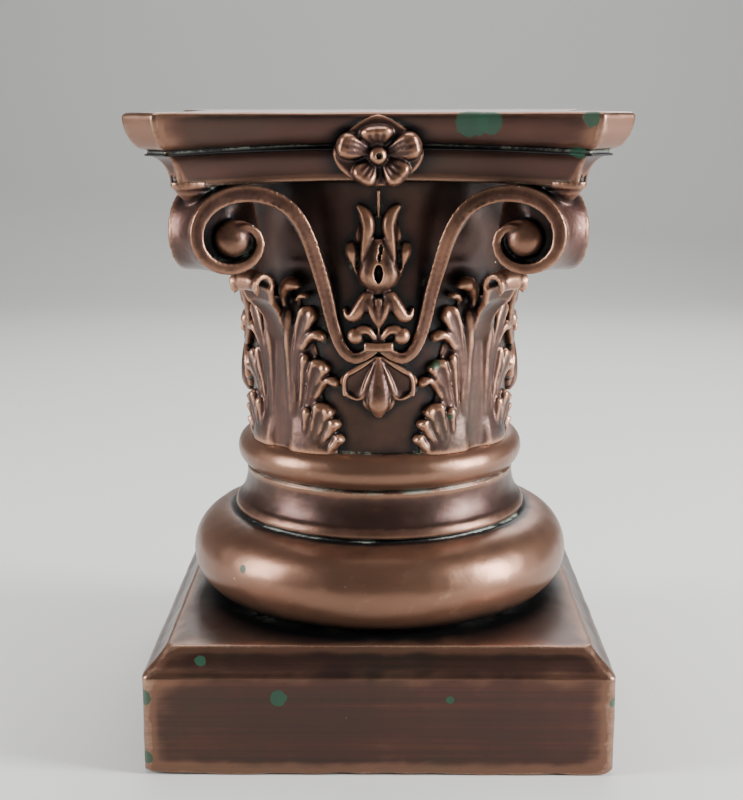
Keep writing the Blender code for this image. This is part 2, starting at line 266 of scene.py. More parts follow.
def bronze_paint(name, streaks=0.1, brush=(40, 40, 40), green_spots=(), contacts=(), red=0.4,
                 copper_and_highlight=1.0, ground=BODY_BROWN):
    """Dark brown ground with copper rubbed over it, thin in the hollows, which are darkened as painted
    shade, and pale on the edges, partly wear and partly painted highlight.
    """
    paint = Finish(name)
    hollow, crease, ridge, swell = map(paint.attribute, ("hollow", "crease", "ridge", "swell"))
    blotch = paint.cloud(9, 3.0)
    mottle = paint.cloud(60, 4.0)
    grain = paint.cloud(420, 3.0)
    stroke = paint.cloud(1.0, 4.0, stretch=brush)
    tone = (blotch - 0.5) * 0.9 + (mottle - 0.5) * 0.35 + (stroke - 0.5) * streaks * 3
    # Painted shade: points sheltered by near and far surroundings fall to near-black, partly the darker
    # paint left in hollows.
    reached = paint.between(hollow + crease * 0.5 + (mottle - 0.5) * 0.15, 0.68, 0.1)
    olive = paint.between(paint.cloud(14, 3.0, shift=(5, 2, 8)), 0.46, 0.66) * 0.75
    aged = paint.blend(olive, ground, OLIVE_BROWN)
    body = paint.blend((red + tone).clipped(), aged, RED_BROWN)
    base = paint.blend((reached + tone * 0.45).clipped(), DARK_PAINT_AND_SHADE, body)
    # Copper over swells and open faces: partly rubbed copper, partly a painted highlight; less sheltered
    # faces are made lighter as painted light.
    rub_and_highlight = (paint.between(swell * 0.85 + ridge * 0.2 + tone * 0.35, 0.12, 0.85)
           * paint.between(hollow, 0.85, 0.25) * copper_and_highlight).clipped()
    thin = (paint.between(tone + (0.5 - hollow) * 0.5, 0.2, 0.8) * 0.22 * copper_and_highlight).clipped()
    rubbed = paint.blend((rub_and_highlight * 0.85 + thin).clipped(), base, COPPER)
    # Pale copper along ridges and arrises: partly edge wear, partly a painted highlight.
    edge = paint.between(ridge + tone * 0.5 + (grain - 0.5) * 0.4, 0.75, 1.35) * 0.55 * max(copper_and_highlight, 0.6)
    bright = paint.blend(edge.clipped(), rubbed, PALE_WEAR_AND_HIGHLIGHT)
    settled = (paint.between(crease + (mottle - 0.5) * 1.3 + (grain - 0.5) * 0.8, 0.62, 0.92)
               * paint.between(hollow, 0.74, 0.42) * 0.7)
    for radius, height in contacts:
        broken = paint.between(mottle + (grain - 0.5) * 0.4, 0.44, 0.66)
        settled = settled + paint.contact(radius, height) * broken
    settled = settled.clipped()
    dusty = paint.blend(settled * 0.7, bright, RESIDUE)
    chips = paint.between(ridge * 0.05 + paint.cloud(240, 1.0, shift=(3, 1, 2)), 0.835, 0.855)
    colour = paint.blend(chips, dusty, BARE_CAST)
    covered = settled * 0.8 + chips
    for centre, radius in green_spots:
        patch = paint.spot(centre, radius)
        colour = paint.blend(patch * 0.88, colour, GREEN_PAINT)
        covered = covered + patch * 0.8
    covered = covered.clipped()
    satin = (0.33 + (mottle - 0.5) * 0.12 + hollow * 0.18 - rub_and_highlight * 0.03 + covered * 0.2
             + (stroke - 0.5) * streaks * 0.5).clipped()
    height = stroke * streaks + grain * 0.3 + mottle * 0.4 + covered * 0.5
    relief = paint.node("ShaderNodeBump", inputs={"Strength": 0.22, "Distance": 0.0012, "Height": height})
    paint.set(Base_Color=colour, Metallic=(0.8 - hollow * 0.3) * (1 - covered), Coat_Weight=0.12,
              Coat_Roughness=0.42, Roughness=satin, Normal=relief)
    return paint.material


def square_ring(half, z, corner, steps=56):
    """Level square outline with round corners and many points along each side."""
    ring = []
    straight = half - corner
    for side in range(4):
        turned = quarter(side)
        for i in range(steps):
            ring.append(turned @ Vector((half, -straight + 2 * straight * i / steps, z)))
        for i in range(6):
            turn = math.pi / 2 * i / 6
            ring.append(turned @ Vector((straight + corner * math.cos(turn),
                                         straight + corner * math.sin(turn), z)))
    return ring


def plinth_profile():
    """Inset and height up the plinth's side, from under its lower edge to the middle of its top."""
    yield 0.15, 0.0
    yield 0.05, 0.0
    yield 0.004, 0.0
    for i in range(5):
        turn = math.pi / 2 * i / 4
        yield 0.002 * (1 - math.sin(turn)), 0.002 * (1 - math.cos(turn))
    rows = 24
    for i in range(1, rows):
        yield 0.0, 0.002 + (PLINTH_SIDE - PLINTH_ARRIS - 0.002) * i / rows
    for i in range(6):
        turn = math.pi / 4 * i / 5
        yield (PLINTH_ARRIS * (1 - math.cos(turn)),
               PLINTH_SIDE - PLINTH_ARRIS * 0.7 + PLINTH_ARRIS * math.sin(turn))
    for i in range(1, 10):
        share = 0.08 + 0.84 * i / 10
        sag = -0.0012 * math.sin(math.pi * share)
        yield SLOPE_RUN * share, PLINTH_SIDE + SLOPE_RISE * share + sag
    for share in (0.97, 1.03, 1.12):
        yield SLOPE_RUN * share, PLINTH_TOP - 0.0006 * (share < 1)
    for i in range(30):
        yield 0.02 + 0.0045 * i, PLINTH_TOP


plinth_bm = bmesh.new()
loft(plinth_bm, [square_ring(PLINTH_WIDTH / 2 - inset, z, max(PLINTH_CORNER * (1 - 5 * inset), 0.001))
                 for inset, z in plinth_profile()])
for vert in plinth_bm.verts:
    near_foot = max(0.0, 1 - vert.co.z / FOOT_WEAR_HEIGHT)
    outside = max(abs(vert.co.x), abs(vert.co.y)) / (PLINTH_WIDTH / 2)
    if near_foot > 0 and outside > 0.95:
        corner = max(0.0, min(abs(vert.co.x), abs(vert.co.y)) / (PLINTH_WIDTH / 2) - 0.94) / 0.06
        wander = noise.noise(Vector((vert.co.x * 16, vert.co.y * 16, 7.0)))
        wander += 0.5 * noise.noise(Vector((vert.co.x * 60, vert.co.y * 60, 3.0)))
        lifted = max(0.0, 0.0007 + FOOT_WEAR * wander + 0.0035 * corner ** 2)
        vert.co.z += near_foot * lifted
        vert.co.xy *= 1 - 0.004 * near_foot * max(0.0, wander)
plinth_paint = bronze_paint("plinth_bronze", streaks=0.45, brush=(3.0, 3.0, 230), red=0.3, copper_and_highlight=0.3,
                            contacts=((0.117, PLINTH_TOP),), green_spots=(
    ((-0.125, -0.158, 0.083), 0.0045), ((-0.07, -0.166, 0.058), 0.006),
    ((0.05, -0.166, 0.057), 0.003), ((-0.165, -0.165, 0.058), 0.0065),
    ((-0.164, -0.165, 0.013), 0.0055), ((0.165, -0.165, 0.055), 0.004)))
settle("plinth", mesh_from("plinth", plinth_bm), plinth_paint)

# Turned base
# The big roll, the lip over its groove, the hollow neck and the collar roll, all round.
# The mould was turned, so the paint was brushed round it; the copper on the swell of the rolls is partly
# rubbed and partly a painted highlight.

ROLL_RADIUS = 0.147
ROLL_HEIGHT = 0.064
LIP_RADIUS = 0.1135
LIP_HEIGHT = 0.0095
NECK_RADIUS = 0.1045
NECK_HEIGHT = 0.0252
COLLAR_RADIUS = 0.111
COLLAR_HEIGHT = 0.0277
BELL_RADIUS = 0.098
BELL_SWELL = 0.003
BELL_RIM = 0.104
BELL_HEIGHT = 0.1926
LIP_FOOT = PLINTH_TOP + ROLL_HEIGHT
NECK_FOOT = LIP_FOOT + LIP_HEIGHT
COLLAR_FOOT = NECK_FOOT + NECK_HEIGHT
BELL_FOOT = COLLAR_FOOT + COLLAR_HEIGHT
ABACUS_FOOT = BELL_FOOT + BELL_HEIGHT


def circle(radius, z, sides=240):
    """Level ring of points about the axis."""
    turns = [2 * math.pi * i / sides for i in range(sides)]
    return [Vector((radius * math.cos(t), radius * math.sin(t), z)) for t in turns]


def roll_profile(radius, foot, height, steps):
    """Half-round moulding, as radius and height pairs from its foot up."""
    minor = height / 2
    for i in range(steps + 1):
        turn = math.radians(-84 + 168 * i / steps)
        yield radius - minor + minor * math.cos(turn), foot + minor + minor * math.sin(turn)


def curve_through(points, steps):
    """Smooth path through a few given points, ending on the first and the last."""
    points = [Vector(point) for point in points]
    padded = [2 * points[0] - points[1]] + points + [2 * points[-1] - points[-2]]
    path = []
    for i in range(steps + 1):
        place = i / steps * (len(points) - 1)
        k = min(int(place), len(points) - 2)
        t = place - k
        a, b, c, d = padded[k:k + 4]
        path.append(0.5 * (2 * b + (c - a) * t + (2 * a - 5 * b + 4 * c - d) * t * t
                           + (3 * b - a - 3 * c + d) * t * t * t))
    return path


def base_profile():
    """The turned base's outline, from inside the plinth to inside the bell's foot."""
    yield 0.1, PLINTH_TOP - 0.004
    yield 0.108, PLINTH_TOP - 0.004
    yield from roll_profile(ROLL_RADIUS, PLINTH_TOP, ROLL_HEIGHT, 44)
    ogee = [(LIP_RADIUS - 0.0032, 0.0004), (LIP_RADIUS - 0.0004, 0.0022), (LIP_RADIUS, 0.005),
            (LIP_RADIUS - 0.0016, 0.0084), (NECK_RADIUS + 0.0045, 0.0118), (NECK_RADIUS + 0.0018, 0.017),
            (NECK_RADIUS + 0.0002, 0.0235), (NECK_RADIUS - 0.0004, 0.029), (NECK_RADIUS, 0.0342)]
    for point in curve_through([(radius, rise, 0) for radius, rise in ogee], 40):
        yield point.x, LIP_FOOT + point.y
    yield from roll_profile(COLLAR_RADIUS, COLLAR_FOOT, COLLAR_HEIGHT, 26)
    yield BELL_RADIUS - 0.002, BELL_FOOT + 0.0004
    yield BELL_RADIUS - 0.006, BELL_FOOT + 0.0004


base_bm = bmesh.new()
loft(base_bm, [circle(radius, z) for radius, z in base_profile()])
base_paint = bronze_paint("turned_base_bronze", brush=(7, 7, 130), copper_and_highlight=0.42, contacts=(
    (LIP_RADIUS - 0.001, LIP_FOOT), (NECK_RADIUS, COLLAR_FOOT), (BELL_RADIUS + 0.001, BELL_FOOT)),
    green_spots=(((-0.099, -0.106, 0.133), 0.003),))
settle("turned_base", mesh_from("turned_base", base_bm), base_paint)

# Bell
# The plain drum behind the carving, painted dark for the shade that falls on it behind the carving and under
# the abacus.
# It swells a little and flares to its rim under the abacus.


def within(value, low=0.0, high=1.0):
    return min(max(value, low), high)


def eased(value):
    """0 to 1 in a gentle curve."""
    share = within(value)
    return share * share * (3 - 2 * share)


def bell_radius(z):
    """Radius of the bell at a height."""
    rise = (z - BELL_FOOT) / BELL_HEIGHT
    flare = within((rise - 0.7) / 0.3) ** 2
    return BELL_RADIUS + BELL_SWELL * eased(rise) + (BELL_RIM - BELL_RADIUS - BELL_SWELL) * flare


bell_heights = [BELL_FOOT - 0.002 + (BELL_HEIGHT + 0.006) * i / 64 for i in range(65)]
bell_bm = bmesh.new()
loft(bell_bm, [circle(bell_radius(z), z, 200) for z in bell_heights])
# The bell's darker ground and scant copper are painted shade.
bell_paint = bronze_paint("bell_bronze", streaks=0.12, brush=(50, 50, 9), red=0.45, copper_and_highlight=0.08,
                          ground=BELL_SHADE_BROWN, contacts=((BELL_RADIUS, BELL_FOOT),))
settle("bell", mesh_from("bell", bell_bm), bell_paint)

# Abacus
# The square slab on top, with hollow sides and cut corners. Its edge is a swelling band,
# a thin groove and a hollow moulding below it, and the mouldings bow up towards each middle.

ABACUS_HEIGHT = TOP - ABACUS_FOOT
ABACUS_CORNER = 0.034
ABACUS_HOLLOW = 0.034
ABACUS_BAND = 0.0255
ABACUS_GROOVE_INSET = 0.0128
ABACUS_FOOT_INSET = 0.029
ABACUS_BOW = 0.0035
ABACUS_ARRIS = 0.0009
GROOVE_WIDTH = 0.0024
GROOVE_DEPTH = 0.0026
GROOVE_BEAD = 0.0018
BAND_EDGE = 0.0034


def abacus_plan(inset, z, lift, steps=44):
    """Outline of the slab with its sides moved in by inset and bowed up by lift in their middles."""
    half = ABACUS_WIDTH / 2
    reach = math.sqrt(2) * half - ABACUS_CORNER / 2
    side = half - inset
    end = math.sqrt(2) * (reach - inset) - side
    ring = []
    for turn in range(4):
        turned = quarter(turn)
        shares = [2 * i / steps - 1 for i in range(steps + 1)]
        shares[1:1] = [-0.985, -0.97]
        shares[-1:-1] = [0.97, 0.985]
        for share in shares:
            middle = 1 - share * share
            ring.append(turned @ Vector(((end - ABACUS_ARRIS) * share, -side + ABACUS_HOLLOW * middle,
                                         z + lift * middle)))
        start = turned @ Vector((end, -side, z))
        stop = turned @ Vector((side, -end, z))
        along = (stop - start).normalized()
        cut = (stop - start).length
        for reached in (ABACUS_ARRIS, 3 * ABACUS_ARRIS, 0.25 * cut, 0.5 * cut, 0.75 * cut,
                        cut - 3 * ABACUS_ARRIS, cut - ABACUS_ARRIS):
            ring.append(start + along * reached)
    return ring


def abacus_profile():
    """Inset and drop below the top, from the top's outer edge down the mouldings."""
    yield 0.006, 0.0
    for i in range(7):
        turn = math.pi / 2 * i / 6
        yield 0.0038 * (1 - math.sin(turn)), BAND_EDGE * (1 - math.cos(turn))
    for i in range(1, 17):
        turn = math.pi / 2 * i / 16
        yield (ABACUS_GROOVE_INSET * (1 - math.cos(turn)) ** 0.9,
               BAND_EDGE + (ABACUS_BAND - BAND_EDGE - GROOVE_WIDTH / 2) * math.sin(turn) ** 1.15)
    for side in (-0.25, 0.25):
        yield ABACUS_GROOVE_INSET + GROOVE_DEPTH, ABACUS_BAND + side * GROOVE_WIDTH
    for i in range(5):
        turn = math.radians(150 - 110 * i / 4)
        yield (ABACUS_GROOVE_INSET + 0.0022 - GROOVE_BEAD * math.sin(turn),
               ABACUS_BAND + 0.6 * GROOVE_WIDTH + GROOVE_BEAD * (1 - math.cos(turn)) / 2)
    below = ABACUS_BAND + GROOVE_WIDTH
    for i in range(2, 15):
        turn = math.radians(4 + 82 * i / 14)
        yield (ABACUS_GROOVE_INSET + 0.0002 + (ABACUS_FOOT_INSET - ABACUS_GROOVE_INSET) * math.sin(turn),
               below + (ABACUS_HEIGHT - below - 0.0016) * (1 - math.cos(turn)))
    yield ABACUS_FOOT_INSET, ABACUS_HEIGHT - 0.001
    yield ABACUS_FOOT_INSET + 0.0008, ABACUS_HEIGHT


abacus_bm = bmesh.new()
abacus_rings = [abacus_plan(inset, TOP - drop, ABACUS_BOW * eased(drop / ABACUS_BAND))
                for inset, drop in abacus_profile()]
inward = (0.97, 0.92, 0.84, 0.74, 0.62, 0.49, 0.36, 0.23, 0.11, 0.03)
top_rings = [[Vector((p.x * share, p.y * share, TOP)) for p in abacus_rings[0]] for share in inward[::-1]]
foot_rings = [[Vector((p.x * share, p.y * share, ABACUS_FOOT + (p.z - ABACUS_FOOT) * share ** 2))
               for p in abacus_rings[-1]] for share in inward]
loft(abacus_bm, (top_rings + abacus_rings + foot_rings)[::-1])
abacus_paint = bronze_paint("abacus_bronze", 0.24, (4, 4, 120), red=0.45, copper_and_highlight=0.36, green_spots=(
    ((0.062, -0.1412, 0.452), 0.011), ((0.074, -0.1432, 0.453), 0.009),
    ((0.138, -0.1645, 0.456), 0.006), ((0.132, -0.15, 0.434), 0.006)))
settle("abacus", mesh_from("abacus", abacus_bm), abacus_paint)

# Scrolls and stems
# Each stem is a strap with two raised edges. It leaves the clasp, runs round the bell and up,
# and winds into the rim of a scroll. A scroll is as wide as the corner and ends in a ball.

SCROLL_RADIUS = 0.037
SCROLL_SETBACK = 0.032
SCROLL_ROOT = 0.0012
SCROLL_TIP_WIDTH = 0.0218
SCROLL_SPLAY = math.radians(25)
SCROLL_TIGHTNESS = 0.96
RIM_SHARE = 0.31
FIELD_DEPTH = 0.0095
FIELD_START = -0.26
FIELD_FALL_START = 0.02
BALL_RADIUS = 0.0131
SCROLL_GRAIN = 0.00121
NECK_ROWS = ((-0.004, 0.0115, 0.023, 0.0175), (0.0005, 0.0112, 0.0225, 0.0179),
             (0.002, 0.0098, 0.0205, 0.0193), (0.004, 0.0106, 0.0205, 0.0197),
             (0.006, 0.01, 0.0185, 0.0209), (0.009, 0.0092, 0.016, 0.0219),
             (0.012, 0.0088, 0.013, 0.0225))
ALONG_CORNER = Vector((1, -1, 0)) / math.sqrt(2)
ACROSS_CORNER = Vector((-1, -1, 0)) / math.sqrt(2)
FACE_OUT = ACROSS_CORNER * math.cos(SCROLL_SPLAY) + ALONG_CORNER * math.sin(SCROLL_SPLAY)
CORNER_REACH = math.sqrt(2) * ABACUS_WIDTH / 2 - ABACUS_CORNER / 2 - SCROLL_SETBACK


def scroll_radius(turns):
    """The scroll's outer edge winds in by the same share each turn, from its top."""
    return SCROLL_RADIUS * math.exp(-SCROLL_TIGHTNESS * turns)


EYE_REACH = CORNER_REACH - scroll_radius(0.25)
EYE_HEIGHT = ABACUS_FOOT + SCROLL_ROOT - SCROLL_RADIUS


def half_width(reach):
    """Half the scroll's width at a distance from the axis."""
    return SCROLL_TIP_WIDTH / 2 + (CORNER_REACH - reach) * math.tan(SCROLL_SPLAY)


def corner_point(reach, aside, z):
    """Point of the front right corner, a distance aside from the diagonal towards the front."""
    return ALONG_CORNER * reach + ACROSS_CORNER * aside + Vector((0, 0, z))


def spiral_place(turns, radius):
    """Reach and height of a point of the spiral."""
    turn = 2 * math.pi * turns
    return EYE_REACH + radius * math.sin(turn), EYE_HEIGHT + radius * math.cos(turn)


def face_point(turns, radius):
    """Point on the scroll's front face."""
    reach, z = spiral_place(turns, radius)
    return corner_point(reach, half_width(reach), z)


def on_bell(angle, z, out=0.0):
    """Point at an angle in degrees from the middle of the front, standing out from the bell."""
    turn = math.radians(angle)
    radius = bell_radius(z) + out
    return Vector((radius * math.sin(turn), -radius * math.cos(turn), z))


def bell_out(point):
    """Level direction away from the axis."""
    return Vector((point.x, point.y, 0)).normalized()


def limb(bm, path, outward, wide, deep, section, root=0.004):
    """Body along a path, with half widths and heights as functions of the share along it."""
    last = len(path) - 1
    rings = []
    for i, point in enumerate(path):
        share = i / last
        along = (path[min(i + 1, last)] - path[max(i - 1, 0)]).normalized()
        aside = along.cross(outward[i]).normalized()
        out = aside.cross(along).normalized()
        ring = [point + aside * (a * wide(share)) + out * (o * (deep(share) if o > 0 else root))
                for a, o in section]
        rings.append(ring)
    loft(bm, rings)


def round_section(fullness):
    """Domed section that meets its ground steeply."""
    turns = [math.pi * i / 12 for i in range(13)]
    return [(math.cos(t), max(math.sin(t), 1e-4) ** fullness) for t in turns] + [(-1, -1), (1, -1)]


def both_sides(half):
    """Section of a body from its right half, which ends on its middle line."""
    return half + [(-a, o) for a, o in half[-2::-1]]


STRAP_SECTION = both_sides([(1, -1), (1, 0.55), (0.96, 0.86), (0.87, 0.97), (0.75, 0.84), (0.55, 0.84),
                            (0.3, 0.93), (0, 0.97)])
ROUND = round_section(0.75)
SOFT = round_section(1.0)
STEM_THICKNESS = 0.0062


def add_strap(bm):
    """Stem and scroll rim in one strap, for the right half of the front."""
    low = [on_bell(angle, z, lift) for angle, z, lift in
           ((1.5, 0.2955, 0), (5.2, 0.2905, 0), (9.6, 0.2872, 0), (14, 0.2925, 0), (16.6, 0.3025, 0),
            (18.6, 0.315, 0.001), (20.1, 0.3345, 0.006), (21.8, 0.356, 0.015))]
    high = [face_point(turn, scroll_radius(turn) * (1 - RIM_SHARE / 2) + spread)
            for turn, spread in ((-0.23, 0.0058), (-0.16, 0.004), (-0.1, 0.0018), (-0.05, 0.0004),
                                 (-0.02, 0))]
    climb = curve_through(low + high, 72)[:-1]
    turns = [-0.02 + 0.99 * i / 88 for i in range(89)]
    wound = []
    for turn in turns:
        pull = 0.42 * max(0.0, (turn - 0.76) / 0.21) ** 2
        wound.append(face_point(turn, scroll_radius(turn) * (1 - RIM_SHARE / 2) * (1 - pull)))
    path = climb + wound
    for _ in range(12):
        path[1:-1] = [(path[i - 1] + 2 * path[i] + path[i + 1]) / 4 for i in range(1, len(path) - 1)]
    outward = [bell_out(point).lerp(FACE_OUT, eased((i - 24) / 34)).normalized()
               for i, point in enumerate(path)]
    first = len(climb)

    def wide(share):
        i = share * (len(path) - 1)
        if i < first:
            return 0.0036 + 0.0012 * min(i / (0.5 * first), 1) + 0.0009 * max(i / first - 0.5, 0) * 2
        turn = turns[min(int(i) - first, 88)]
        slim = 1 - 0.38 * within((turn - 0.8) / 0.17)
        return min(0.0057, max(RIM_SHARE / 2 * scroll_radius(turn), 0.0031)) * slim

    def deep(share):
        i = share * (len(path) - 1)
        return STEM_THICKNESS * (1 - 0.62 * eased((i - 0.62 * first) / (0.36 * first)))

    limb(bm, path, outward, wide, deep, STRAP_SECTION, root=0.0064)


def add_ball(bm, centre, out, radius, squash=1.0):
    """Round boss that stands out along a direction."""
    aside = out.cross(Vector((0, 0, 1))).normalized()
    up = aside.cross(out)
    rings = []
    for i in range(1, 16):
        turn = math.pi * i / 16
        around = [math.cos(2 * math.pi * j / 24) * aside + math.sin(2 * math.pi * j / 24) * up
                  for j in range(24)]
        rings.append([centre + radius * (math.sin(turn) * side - math.cos(turn) * squash * out)
                      for side in around])
    loft(bm, rings)


def add_scroll_body(bm):
    """Ribbon right across the corner, its sunk field, and the neck that ties it to the abacus."""
    rings = []
    turns = [-0.1 + 1.1 * i / 96 for i in range(97)]
    for turn in turns:
        radius = scroll_radius(turn) - 0.0004
        outer, inner = spiral_place(turn, radius), spiral_place(turn, radius * (1 - RIM_SHARE))
        grown = within((turn + 0.1) / 0.14, 0.1)
        ring = []
        for share in (-1, -0.6, -0.2, 0.2, 0.6, 1):
            reach, z = spiral_place(turn, radius - 0.0011 * (1 - share * share))
            ring.append(corner_point(reach, share * grown * (half_width(outer[0]) - 0.0012), z))
        for share in (1, -1):
            ring.append(corner_point(inner[0], share * grown * (half_width(inner[0]) - 0.0012), inner[1]))
        rings.append(ring)
    loft(bm, rings)
    rings = []
    for i in range(60):
        turn = FIELD_START + 1.31 * i / 59
        kept = 1 - 0.93 * eased((FIELD_FALL_START - turn) / (FIELD_FALL_START - FIELD_START))
        outer = spiral_place(turn, scroll_radius(turn) * (1 - RIM_SHARE / 2))
        inner = spiral_place(turn, 0.004 + 0.007 * within((0.1 - turn) / 0.1))
        rings.append([corner_point(reach, side * (half_width(reach) - FIELD_DEPTH) * kept, z)
                      for (reach, z), side in ((outer, 1), (inner, 1), (inner, -1), (outer, -1))])
    loft(bm, rings)
    neck = []
    for drop, width, run, reach in NECK_ROWS:
        turns = [2 * math.pi * i / 20 for i in range(20)]
        neck.append([corner_point(CORNER_REACH - reach + run * math.cos(turn), width * math.sin(turn),
                                  ABACUS_FOOT - drop) for turn in turns])
    loft(bm, neck)


def add_scroll_eye(bm):
    """Ball that the coil ends in, on the front face of the right-hand scroll."""
    middle = corner_point(EYE_REACH + 0.0012, half_width(EYE_REACH), EYE_HEIGHT + 0.001)
    add_ball(bm, middle - FACE_OUT * 0.0072, FACE_OUT, BALL_RADIUS, 0.8)


def mirrored_corner(make):
    """Adds what make adds, and its mirror image across the corner."""
    def both(bm):
        make(bm)
        copies = {vert: bm.verts.new((-vert.co.y, -vert.co.x, vert.co.z)) for vert in list(bm.verts)}
        for face in list(bm.faces):
            bm.faces.new([copies[vert] for vert in face.verts])
    return both


def copied_round(make, mirrored=True, turns=range(4)):
    """What make adds at the front or its right corner, on the sides asked for, mirrored if asked."""
    pattern = bmesh.new()
    make(pattern)
    whole = bmesh.new()
    for turn in turns:
        turned = quarter(turn)
        for flip in (1, -1) if mirrored else (1,):
            places = {vert: whole.verts.new(turned @ Vector((flip * vert.co.x, vert.co.y, vert.co.z)))
                      for vert in pattern.verts}
            for face in pattern.faces:
                whole.faces.new([places[vert] for vert in face.verts])
    pattern.free()
    return whole


def gathered(*parts):
    """Several sets of bodies in one."""
    whole = bmesh.new()
    for part in parts:
        holder = bpy.data.meshes.new("holder")
        part.to_mesh(holder)
        part.free()
        whole.from_mesh(holder)
        bpy.data.meshes.remove(holder)
    return whole


def settle_corners(name, makes, grain, paint, smoothing=2):
    """The same bodies at every corner, in one piece for the right corners and one for the left."""
    for side, turns in (("right", (0, 1)), ("left", (2, 3))):
        pair = gathered(*(copied_round(make, False, turns) for make in makes))
        settle(name + side, fused_mesh(name + side, pair, grain, smoothing), paint)


scroll_paint = bronze_paint("scroll_bronze", red=0.6, copper_and_highlight=0.5, green_spots=(
    ((0.122, -0.146, 0.366), 0.0035),))
settle_corners("scrolls_", (mirrored_corner(add_strap), add_scroll_body, mirrored_corner(add_scroll_eye)),
               SCROLL_GRAIN, scroll_paint)

# Corner leaves
# A tall leaf on each corner. A smooth channel between two ridges runs up its middle, flares
# out and rolls over under the scroll, and lobes with round tips fan out in three tiers beside it.

LEAF_TOP_HEIGHT = 0.335
ROLL_OVER_REACH = 0.1285
ROLL_OVER_HEIGHT = 0.3428
ROLL_OVER_RADIUS = 0.008
ROLL_OVER_HALF_WIDTH = 0.0165
ROLL_OVER_DROOP = 0.0032
FOLD_DEPTH = 0.0006
SHEET_THICKNESS = 0.004
LEAF_GRAIN = 0.0012
SPOON = both_sides([(1, -1), (1, 0.38), (0.95, 0.7), (0.84, 0.92), (0.66, 1.0), (0.35, 0.93), (0, 0.86)])


def along_share(values, share):
    """Value at a share of the way along evenly spaced values."""
    place = share * (len(values) - 1)
    k = min(int(place), len(values) - 2)
    t = eased(place - k)
    return values[k] * (1 - t) + values[k + 1] * t


def lobe(bm, points, widths, heights, section=ROUND, blunt=0.16):
    """Lobe of a leaf through a few places, each an angle from the corner, a height and a lift in mm."""
    path = curve_through([on_bell(45 - degrees, z / 1000, sum(lift) / 1000)
                          for degrees, z, *lift in points], 20)
    outward = [bell_out(point) for point in path]

    def rounding(share):
        return math.sqrt(max(0.05, 1 - max(0.0, (share - 1 + blunt) / blunt) ** 2))

    limb(bm, path, outward, lambda share: along_share(widths, share) / 1000 * rounding(share),
         lambda share: along_share(heights, share) / 1000 * (0.35 + 0.65 * rounding(share)), section)


def leaf_spread(z):
    """Half the angle that the leaf's thin body covers at a height."""
    share = within((z - BELL_FOOT) / (LEAF_TOP_HEIGHT - BELL_FOOT))
    return along_share((27.5, 24.5, 20.5, 19.0, 15.0, 9.5), share)


def add_leaf_ground(bm):
    """Thin body of the leaf, with the channel up its middle, which the ridges and lobes stand on."""
    rows, columns = 44, 28
    rings = []
    for i in range(rows + 1):
        z = BELL_FOOT - 0.002 + (LEAF_TOP_HEIGHT - 0.004 - BELL_FOOT) * i / rows
        spread = leaf_spread(z)
        foot = math.exp(-((z - BELL_FOOT) / 0.024) ** 2)
        ring = []
        for j in range(columns + 1):
            share = 2 * j / columns - 1
            angle = spread * share
            middle = math.exp(-(angle / 5.6) ** 4)
            out = 0.002 + 0.0012 * middle + 0.0052 * foot * (1 - middle) * (1 - share ** 6)
            ring.append(on_bell(45 + angle, z, out))
        ring += [on_bell(45 + spread, z, -0.004), on_bell(45 - spread, z, -0.004)]
        rings.append(ring)
    loft(bm, rings)


def add_roll_over(bm):
    """The leaf's tip: a sheet that leaves the bell, flares out and rolls over and down."""
    profile = [(0.0985, 0.298, 0.0085), (0.1015, 0.306, 0.0088), (0.1045, 0.314, 0.0092),
               (0.108, 0.321, 0.01), (0.1125, 0.3265, 0.0115), (0.1175, 0.3305, 0.0135)]
    turns = [math.radians(205 - 265 * i / 22) for i in range(23)]
    profile += [(ROLL_OVER_REACH + ROLL_OVER_RADIUS * math.cos(t),
                 ROLL_OVER_HEIGHT + ROLL_OVER_RADIUS * math.sin(t),
                 ROLL_OVER_HALF_WIDTH * (1 - 0.22 * (i / 22) ** 2)) for i, t in enumerate(turns)]
    rings = []
    last = len(profile) - 1
    for i, (reach, z, wide) in enumerate(profile):
        ahead, behind = profile[min(i + 1, last)], profile[max(i - 1, 0)]
        run = Vector((ahead[0] - behind[0], ahead[1] - behind[1])).normalized()
        inward = Vector((run.y, -run.x)) * SHEET_THICKNESS
        ring = []
        for j in range(25):
            share = 2 * j / 24 - 1
            fold = FOLD_DEPTH * math.exp(-((abs(share) - 0.6) / 0.11) ** 2) * (i > 4)
            rim = 0.001 * abs(share) ** 6 - fold
            droop = ROLL_OVER_DROOP * share * share
            ring.append(corner_point(reach - run.y * rim, wide * share, z + run.x * rim - droop))
        for j in range(25):
            share = 1 - 2 * j / 24
            droop = ROLL_OVER_DROOP * share * share
            ring.append(corner_point(reach + inward.x, wide * share, z + inward.y - droop))
        rings.append(ring)
    loft(bm, rings)


